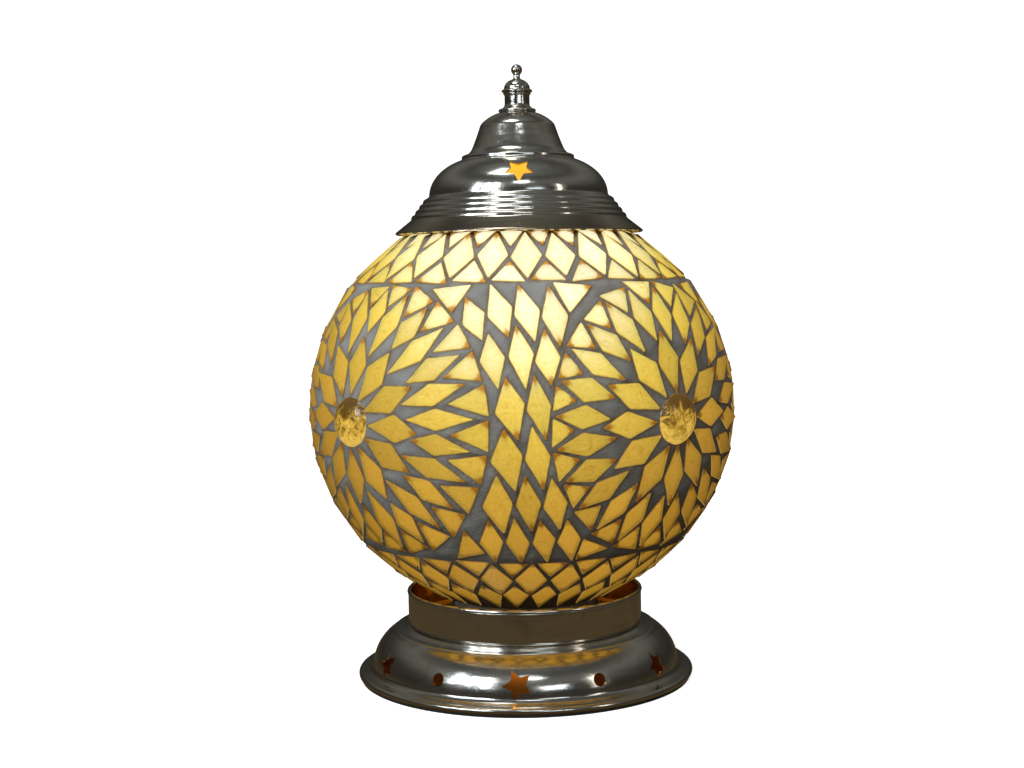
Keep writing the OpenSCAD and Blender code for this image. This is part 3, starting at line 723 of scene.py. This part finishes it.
def make_finial():
    """The ferrule on the cap's peak and the knob with its ball on top of that."""
    z = 262.8
    ferrule = [(3.2, z), (8.2, z)] + arc(8.0, z + 0.8, 0.7, 0.8, -80, 80, 14)
    ferrule += arc(8.3, z + 4.0, 2.5, 2.4, -110, -180, 14) + [(5.8, z + 8.0)]
    ferrule += arc(5.8, z + 8.5, 0.7, 0.5, -80, 90, 12) + [(3.2, z + 9.0)]
    mesh = lathe("finial_ferrule_fine", softened(ferrule, spacing=0.22, passes=2), wobble=0.05, seed=9)
    add_metal("finial_ferrule", "finial", mesh, sharp=50)
    z += 9.1
    knob = [(0.0, z), (6.4, z)] + arc(6.4, z + 0.7, 0.8, 0.7, -80, 80, 12)
    knob += arc(1.2, z + 1.4, 4.9, 4.7, 0, 74, 24) + [(1.6, z + 6.4), (1.5, 280.0)]
    knob += arc(0.0, 282.3, 2.6, 2.6, -55, 90, 30)
    mesh = lathe("finial_knob_fine", softened(knob, spacing=0.22, passes=2), wobble=0.05, seed=11)
    add_metal("finial_knob", "finial", mesh, sharp=50)


# ---------------- glass tiles

OUTLINE_POINTS = 44
JOINT = 0.9
SPREAD_PASSES = 4
MOST_SPREAD = 1.3  # in one pass
SPOT_STEP = 0.8  # between the points of a tile's outline that keep its neighbours off
MOST_ROUNDING = 1.5
CHIP_DEPTH = 0.20
TIP_REACH = 4.0  # how far a stain reaches from the tip
STAINED_OVER = 0.45  # of a draw from 0 to 1 for each tip
# how far in from the outline each ring of a tile is, and its share of the tile's thickness
TILE_RINGS = [(0.06, 0.0), (0.0, 0.35), (0.0, 0.72), (0.10, 0.87), (0.30, 0.955), (0.60, 0.99)]
INNER_SHARES = [0.86, 0.62, 0.34]


def tile_corners(node):
    """Each tile of a CAD node as its outer face's corners in turn and that face's normal, in millimetres."""
    bm = bmesh.new()
    bm.from_mesh(nodes[node].data)
    bmesh.ops.remove_doubles(bm, verts=bm.verts, dist=SAME_POINT)
    tiles, seen = [], set()
    for start in bm.faces:
        if start in seen:
            continue
        island, queue = [], [start]
        seen.add(start)
        while queue:
            face = queue.pop()
            island.append(face)
            for edge in face.edges:
                for other in edge.link_faces:
                    if other not in seen:
                        seen.add(other)
                        queue.append(other)
        verts = {v for f in island for v in f.verts}
        middle = sum((v.co for v in verts), Vector()) / len(verts)
        out = Vector((middle.x, middle.y, (middle.z - GLOBE_Z * MM) / SQUASH**2)).normalized()
        top = [f for f in island if f.normal.dot(out) > 0.9]
        rim = {}
        for face in top:
            for loop in face.loops:
                if sum(f in top for f in loop.edge.link_faces) == 1:
                    rim[loop.vert] = loop.link_loop_next.vert
        corner = next(iter(rim))
        ring = [corner]
        while rim[ring[-1]] is not corner:
            ring.append(rim[ring[-1]])
        normal = top[0].normal.copy()
        tiles.append(([v.co / MM for v in ring], normal))
    bm.free()
    return tiles


def spread(plates):
    """The tiles with their corners moved out over free grout, to make the joints narrower and more even."""
    spots, owners = [], []
    for own, (corners, _) in enumerate(plates):
        for a, b in zip(corners, corners[1:] + corners[:1]):
            steps = max(2, int((b - a).length / SPOT_STEP))
            spots += [a.lerp(b, i / steps) for i in range(steps)]
            owners += [own] * steps
    for m in range(MEDALLIONS):
        out, side = medallion(m)
        foot = out * (BED_R + 1.0) + Vector((0, 0, GLOBE_Z))
        for u, v in circle_points(NUGGET_R, 80):
            spots.append(foot + side * u + Vector((0, 0, v)))
            owners.append(-1)
    for el in BED_ELEVATIONS:
        for az in np.linspace(0, 360, 400, endpoint=False):
            p = facing(az, el) * (BED_R + 1.0)
            spots.append(Vector((p.x, p.y, p.z * SQUASH + GLOBE_Z)))
            owners.append(-1)
    tree = kdtree.KDTree(len(spots))
    for i, p in enumerate(spots):
        tree.insert(p, i)
    tree.balance()

    def room(place, own):
        """How far an edge of tile own may move out at that place."""
        for _, i, distance in tree.find_n(place, 70):
            if owners[i] != own:
                return max(0.0, (distance - JOINT) / 2)
        return MOST_SPREAD

    grown = []
    for own, (corners, normal) in enumerate(plates):
        moved = []
        for i, here in enumerate(corners):
            before, after = corners[i - 1], corners[(i + 1) % len(corners)]
            a, b = (before - here).normalized(), (after - here).normalized()
            away = -(a + b).normalized()
            half = math.sin(a.angle(b) / 2)
            reach = min(MOST_SPREAD, room(here, own))
            for t in (0.15, 0.3, 0.45, 0.6):
                for end in (before, after):
                    reach = min(reach, room(here.lerp(end, t), own) / ((1 - t) * half))
            moved.append(here + away * reach)
        grown.append((moved, normal))
    return grown


def rounded(corners, radius, count):
    """A polygon with its corners rounded, the blunt ones more, as count points in turn. The corners are 2-D
    and counter-clockwise."""
    pieces = []
    n = len(corners)
    for i in range(n):
        here, before, after = corners[i], corners[i - 1], corners[(i + 1) % n]
        a, b = before - here, after - here
        la, lb = np.linalg.norm(a), np.linalg.norm(b)
        a, b = a / la, b / lb
        half = math.acos(np.clip(a @ b, -1, 1)) / 2
        blunter = 1 + 2.5 * max(0.0, half - 0.7)
        reach = min(radius * blunter / math.tan(half), MOST_ROUNDING, 0.4 * la, 0.4 * lb)
        start, stop = here + a * reach, here + b * reach
        for t in np.linspace(0, 1, 6):
            pieces.append((1 - t) ** 2 * start + 2 * t * (1 - t) * here + t**2 * stop)
    loop = np.array(pieces + [pieces[0]])
    run = distances(loop)
    return at_distances(loop, run, np.linspace(0, run[-1], count, endpoint=False))


def inward(loop):
    """Unit vectors that point into a counter-clockwise loop from each of its points."""
    along = np.roll(loop, -1, axis=0) - np.roll(loop, 1, axis=0)
    along /= np.linalg.norm(along, axis=1)[:, None]
    return np.stack([-along[:, 1], along[:, 0]], axis=1)


def tile_mesh(corners, normal, rng):
    """One hand-cut tile: uneven ground edges, a worn top edge and a slightly wavy top.

    Returns points, faces and a colour for each point, which says how near the edge a point is, for the
    painted shade and highlight at the rim, how near a stained tip, and a tone that the whole tile shares.
    """
    middle = sum(corners, Vector()) / len(corners)
    u = (corners[0] - middle).normalized()
    v = normal.cross(u).normalized()
    flat = np.array([((c - middle).dot(u), (c - middle).dot(v)) for c in corners])
    loop = rounded(flat, rng.uniform(0.45, 1.0), OUTLINE_POINTS)
    steps = np.arange(OUTLINE_POINTS) * 2 * math.pi / OUTLINE_POINTS
    waves = [
        rng.uniform(0.2, 1.0) * np.cos(k * steps + rng.uniform(0, 2 * math.pi)) for k in (2, 3, 5, 8, 13)
    ]
    loop = loop + inward(loop) * (0.03 + CHIP_DEPTH * (sum(waves) / 4))[:, None]
    sharpness = []
    for i in range(len(flat)):
        a, b = flat[i - 1] - flat[i], flat[(i + 1) % len(flat)] - flat[i]
        sharpness.append((a @ b) / (np.linalg.norm(a) * np.linalg.norm(b)) > 0.25)
    sharp = flat[np.array(sharpness)] if any(sharpness) else flat
    to_tips = np.linalg.norm(loop[:, None] - sharp[None], axis=2)
    stained = rng.uniform(0, 1, len(sharp))[np.argmin(to_tips, axis=1)] > STAINED_OVER
    tips = np.exp(-((np.min(to_tips, axis=1) / TIP_REACH) ** 2)) * stained
    tone = rng.uniform(0, 1)

    points, wear_and_shade = [], []
    for inset, share in TILE_RINGS:
        inner = loop + inward(loop) * inset
        for i, (a, b) in enumerate(inner):
            points.append((a, b, share * TILE_T))
            wear_and_shade.append((1.0 - inset / 0.8, tips[i], tone, 1.0))
    centre = inner.mean(axis=0)
    sway = rng.uniform(-40, 40, 3)
    for share in INNER_SHARES:
        for i, (a, b) in enumerate(centre + (inner - centre) * share):
            lump = noise.noise(Vector((a / 4.0 + sway[0], b / 4.0 + sway[1], sway[2])))
            points.append((a, b, TILE_T + 0.09 * lump))
            wear_and_shade.append((0.5 * share**4, tips[i] * share**3, tone, 1.0))
    points.append((*centre, TILE_T + 0.02))
    wear_and_shade.append((0.0, 0.0, tone, 1.0))
    points.append((*centre, 0.0))
    wear_and_shade.append((1.0, 0.0, tone, 1.0))

    n, rings = OUTLINE_POINTS, len(TILE_RINGS) + len(INNER_SHARES)
    faces = []
    for r in range(rings - 1):
        faces += band(r * n, (r + 1) * n, n)
    last, top, bottom = (rings - 1) * n, rings * n, rings * n + 1
    for i in range(n):
        j = (i + 1) % n
        faces.append((last + i, last + j, top))
        faces.append((j, i, bottom))
    base = middle - normal * TILE_T
    placed = [(base + u * a + v * b + normal * h) * MM for a, b, h in points]
    return placed, faces, wear_and_shade


def make_tiles():
    """Every tile node as one piece, and what the grout needs to know of each tile."""
    cut_tiles = {node: tile_corners(node) for node in TILE_NODES}
    plates = [tile for node in TILE_NODES for tile in cut_tiles[node]]
    for _ in range(SPREAD_PASSES):
        plates = spread(plates)
    left = list(plates)
    for number, node in enumerate(TILE_NODES):
        verts, faces, wear_and_shade = [], [], []
        for index in range(len(cut_tiles[node])):
            corners, normal = left.pop(0)
            rng = np.random.default_rng([17, number, index])
            points, sides, marks = tile_mesh(corners, normal, rng)
            first = len(verts)
            verts += points
            faces += [tuple(first + i for i in f) for f in sides]
            wear_and_shade += marks
        mesh = new_mesh(node + "_glass", verts, faces)
        colours = mesh.color_attributes.new("wear_and_shade", "FLOAT_COLOR", "POINT")
        colours.data.foreach_set("color", np.array(wear_and_shade, np.float32).ravel())
        add_piece(node + "_glass", mesh, "globe", "tile_glass", [node], sharp=55)
    return plates


# ---------------- grout

GRID = (370, 160)
GROUT_BELOW = 0.5  # the tops of the tiles
GROUT_LIMITS = (0.8, 3.1)
UNDER_TILE = 0.45
STAIN_AND_SHADE_REACH = 0.7  # from the glass into the grout


def globe_points(radius, az, el):
    """Points of the ellipsoid with that equator radius, and the unit normals there, in millimetres."""
    d = np.stack([np.cos(el) * np.sin(az), -np.cos(el) * np.cos(az), np.sin(el)], axis=-1)
    normals = d / np.array([1, 1, SQUASH])
    normals /= np.linalg.norm(normals, axis=-1)[..., None]
    return d * np.array([1, 1, SQUASH]) * radius + np.array([0, 0, GLOBE_Z]), normals


def grout_heights(points, normals, plates):
    """How far the grout stands over each point, kept just under the tops of the tiles near it, how far
    outside the nearest tile each point is, and the move that brings a point deep under a tile to its edge."""
    total, weights = np.zeros(len(points)), np.full(len(points), 1e-9)
    outside, pull = np.full(len(points), 99.0), np.zeros_like(points)
    for corners, normal in plates:
        corners = np.array([tuple(c) for c in corners])
        m = np.array(normal)
        centre = corners.mean(axis=0)
        reach = np.linalg.norm(corners - centre, axis=1).max() + 6.0
        near = np.nonzero(((points - centre) ** 2).sum(axis=1) < reach**2)[0]
        if not len(near):
            continue
        rise = ((centre - points[near]) @ m) / (normals[near] @ m)
        over = points[near] + normals[near] * rise[:, None]
        edge, way = np.full(len(near), -99.0), np.zeros((len(near), 3))
        for a, b in zip(corners, np.roll(corners, -1, axis=0)):
            out = np.cross(b - a, m)
            out /= np.linalg.norm(out)
            beyond = (over - a) @ out
            way[beyond > edge] = out
            edge = np.maximum(edge, beyond)
        weight = 1 / (np.maximum(edge, 0) + 0.25) ** 3
        total[near] += weight * rise
        weights[near] += weight
        closer = edge < outside[near]
        outside[near[closer]] = edge[closer]
        pull[near[closer]] = way[closer]
    lone = weights < 1e-6
    height = np.clip(np.where(lone, 2.0, total / weights) - GROUT_BELOW, *GROUT_LIMITS)
    hollow = 0.22 * np.clip(outside / 1.5, 0, 1)
    pull *= np.maximum(-outside - UNDER_TILE, 0)[:, None]
    return height - hollow, outside, pull


def make_grout(plates):
    """One closed shell round the globe, filled up to the tiles, with openings under the glass."""
    columns, rows = GRID
    az = np.linspace(0, 2 * math.pi, columns, endpoint=False)
    el = np.radians(np.linspace(*BED_ELEVATIONS, rows))
    az, el = np.meshgrid(az, el)
    az, el = az.ravel(), el.ravel()
    base, normals = globe_points(BED_R + 0.1, az, el)
    height, outside, pull = grout_heights(base, normals, plates)
    sand = np.array([noise.noise(Vector(p / 2.6)) for p in base])
    outer = base + normals * (height + 0.10 * sand)[:, None] + pull
    inner = globe_points(GLASS_R + 0.02, az, el)[0] + pull
    count = columns * rows
    under = (outside < -UNDER_TILE).reshape(rows, columns)

    faces, sides = [], {}
    for j in range(rows - 1):
        for i in range(columns):
            k = (i + 1) % columns
            if under[j, i] and under[j, k] and under[j + 1, i] and under[j + 1, k]:
                continue
            quad = (j * columns + i, j * columns + k, (j + 1) * columns + k, (j + 1) * columns + i)
            faces.append(quad)
            for a, b in zip(quad, quad[1:] + quad[:1]):
                if (b, a) in sides:
                    del sides[b, a]
                else:
                    sides[a, b] = True
    faces += [tuple(count + v for v in reversed(f)) for f in faces]
    faces += [(b, a, count + a, count + b) for a, b in sides]
    mesh = new_mesh("grout_fill", (np.concatenate([outer, inner]) * MM).tolist(), faces)
    wear_and_shade = np.zeros((2 * count, 4), np.float32)
    # nearness to the glass, for the brown that is partly stain and partly painted contact shade
    wear_and_shade[:, 0] = np.tile(np.exp(-np.maximum(outside, 0) / STAIN_AND_SHADE_REACH), 2)
    mesh.color_attributes.new("wear_and_shade", "FLOAT_COLOR", "POINT").data.foreach_set("color", wear_and_shade.ravel())
    bm = bmesh.new()
    bm.from_mesh(mesh)
    bmesh.ops.delete(bm, geom=[v for v in bm.verts if not v.link_faces], context="VERTS")
    bm.to_mesh(mesh)
    bm.free()
    add_piece("grout_fill", mesh, "globe", "grout", ["tile_bed"], sharp=60)


# ---------------- gems


def make_nuggets():
    """Pressed glass gems, each a low dome that isn't quite round."""
    verts, faces = [], []
    rings, around = 22, 64
    for m in range(MEDALLIONS):
        rng = np.random.default_rng([23, m])
        out, side = medallion(m)
        up = Vector((0, 0, 1))
        foot = out * (BED_R + 0.1) + Vector((0, 0, GLOBE_Z))
        sway = rng.uniform(-30, 30, 3)
        profile = [(0.0, 0.0), (0.93, 0.0)] + arc(0.93, 0.13, 0.07, 0.13, -90, 0, 5)[1:]
        profile += arc(0.0, 0.13, 1.0, 0.87, 4, 90, rings - 8)
        first = len(verts)
        for share, lift in profile:
            for i in range(around):
                t = 2 * math.pi * i / around
                spot = Vector((math.cos(t) * share * 1.6, math.sin(t) * share * 1.6, lift))
                lump = noise.noise(spot + Vector(sway))
                r = NUGGET_R * share * (0.985 + 0.02 * math.cos(2 * t + sway[0])) + 0.12 * lump * share
                h = NUGGET_H * lift + 0.35 * lump * lift
                verts.append((foot + side * (r * math.cos(t)) + up * (r * math.sin(t)) + out * h) * MM)
        for j in range(len(profile) - 1):
            faces += band(first + j * around, first + (j + 1) * around, around)
    mesh = cleaned(new_mesh("nugget_gems", verts, faces), 2 * SAME_POINT)
    add_piece("nugget_gems", mesh, "globe", "nugget_glass", ["medallion_nuggets"])


# ---------------- studio

SUNS = [("sun", 2.2, 42, -35), ("fill", 0.6, 50, 160)]  # name, power, lean and turn in degrees
BULBS = [  # name, height, power, radius and colour
    ("bulb_light", 0.165, 1.0, 0.029, (1.0, 0.88, 0.44)),
    ("base_glow", 0.010, 0.03, 0.012, (1.0, 0.45, 0.06)),
]
WINDOW_FAR = 1.5


def window_place(az, el, height):
    return facing(az, el) * WINDOW_FAR + Vector((0, 0, height))


WINDOWS = [  # name, place, aim, size, power and colour
    ("window_0", window_place(-56, 0, 0.85), (0, 0, 0.18), (0.17, 0.75), 2.9, (0.80, 0.90, 1.0)),
    ("window_1", window_place(-43, 0, 0.85), (0, 0, 0.18), (0.17, 0.75), 2.9, (0.80, 0.90, 1.0)),
    ("window_2", window_place(-31, 0, 0.85), (0, 0, 0.18), (0.17, 0.75), 2.9, (0.80, 0.90, 1.0)),
    ("ceiling", (-0.3, -0.25, 1.7), (0, 0, 0.1), (0.5, 0.5), 4.0, (0.92, 0.97, 1.0)),
    ("window_front", window_place(4, 38, 0.24), (0, 0, 0.24), (0.40, 0.16), 0.9, (0.85, 0.93, 1.0)),
    ("side_right", (1.2, -0.9, 0.6), (0, 0, 0.12), (0.12, 0.7), 0.7, (1.0, 0.95, 0.88)),
    ("window_low", (0.5, -1.4, 0.5), (0, 0, 0.05), (0.5, 0.25), 1.0, (0.80, 0.90, 1.0)),
]
ROOM_STOPS = [  # what the metal mirrors of the room, from straight down to straight up
    (0.00, (0.040, 0.024, 0.009)),
    (0.38, (0.082, 0.058, 0.028)),
    (0.46, (0.042, 0.034, 0.022)),
    (0.53, (0.026, 0.024, 0.020)),
    (0.65, (0.040, 0.038, 0.032)),
    (0.80, (0.130, 0.130, 0.118)),
    (0.90, (0.056, 0.056, 0.052)),
    (1.00, (0.140, 0.150, 0.140)),
]
BASE_RIM = (0.072, 0.078)  # the floor is lit outside the base's rim and dark under it


def make_floor():
    """A white floor that the metal doesn't mirror, with a painted dark warm shade under the base."""
    mesh = new_mesh("floor", [(x, y, 0.0) for x, y in circle_points(4, 64)], [tuple(range(64))])
    floor = add_object("floor", mesh)
    p = Paint("floor_paper", Roughness=0.9, Emission_Color=rgba((1.0, 1.0, 1.0)))
    fibre = p.noise(p.place(), 3.0, detail=3.0)
    away = p.node("VectorMath", {0: p.place()}, operation="LENGTH").outputs["Value"]
    open_floor = p.remap(away, *BASE_RIM)
    pale = p.mix(fibre, (0.80, 0.80, 0.80), (0.84, 0.84, 0.84))
    # painted shade: under the base the floor is dark orange brown and gives no light
    tint = p.mix(open_floor, (0.15, 0.05, 0.003), pale)
    shine = p.times(open_floor, 0.75)
    mesh.materials.append(p.feed(Base_Color=tint, Emission_Strength=shine))
    floor.visible_glossy = floor.visible_diffuse = floor.visible_transmission = False


def add_light(name, kind, power, colour):
    data = bpy.data.lights.new(name, kind)
    data.energy, data.color = power, colour
    return add_object(name, data), data


def make_lights():
    """Soft suns that only light, the bulb's own light, and the windows that the metal mirrors."""
    for name, power, lean, turn in SUNS:
        light, data = add_light(name, "SUN", power, (0.92, 0.96, 1.0))
        data.angle = math.radians(80)
        light.rotation_euler = (math.radians(lean), 0, math.radians(turn))
        light.visible_glossy = False
    for name, height, power, radius, colour in BULBS:
        light, data = add_light(name, "POINT", power, colour)
        data.shadow_soft_size = radius
        light.location = (0.0, 0.0, height)
        light.visible_camera = False
    for name, place, aim, size, power, colour in WINDOWS:
        light, data = add_light(name, "AREA", power, colour)
        data.shape, data.size, data.size_y = "RECTANGLE", *size
        light.location = place
        light.rotation_euler = (Vector(aim) - Vector(place)).to_track_quat("-Z", "Y").to_euler()
        light.visible_camera = False


def make_world():
    """White behind the lamp, and a dim room for everything but the camera."""
    world = bpy.data.worlds.new("studio")
    bpy.context.scene.world = world
    world.use_nodes = True
    tree = world.node_tree
    tree.nodes.clear()
    new, link = tree.nodes.new, tree.links.new
    split, height, ramp = new("ShaderNodeSeparateXYZ"), new("ShaderNodeMapRange"), new("ShaderNodeValToRGB")
    link(new("ShaderNodeTexCoord").outputs["Generated"], split.inputs[0])
    height.inputs["From Min"].default_value, height.inputs["From Max"].default_value = -1.0, 1.0
    link(split.outputs["Z"], height.inputs["Value"])
    set_stops(ramp.color_ramp, ROOM_STOPS)
    link(height.outputs[0], ramp.inputs["Fac"])
    room, white, both = new("ShaderNodeBackground"), new("ShaderNodeBackground"), new("ShaderNodeMixShader")
    link(ramp.outputs["Color"], room.inputs["Color"])
    room.inputs["Strength"].default_value = 0.9
    white.inputs["Color"].default_value = (1, 1, 1, 1)
    white.inputs["Strength"].default_value = 1.2
    link(new("ShaderNodeLightPath").outputs["Is Camera Ray"], both.inputs[0])
    link(room.outputs[0], both.inputs[1])
    link(white.outputs[0], both.inputs[2])
    link(both.outputs[0], new("ShaderNodeOutputWorld").inputs["Surface"])


# ---------------- the scene

make_camera()
MATERIALS = make_materials()
for slot, kept in CAD_NODES.items():
    for name in kept:
        nodes[name].data.materials.clear()
        nodes[name].data.materials.append(MATERIALS[slot])

make_cap()
make_skirt()
make_collar()
make_finial()
make_grout(make_tiles())
make_nuggets()

bpy.context.scene.view_settings.view_transform = "Standard"
make_floor()
make_lights()
make_world()
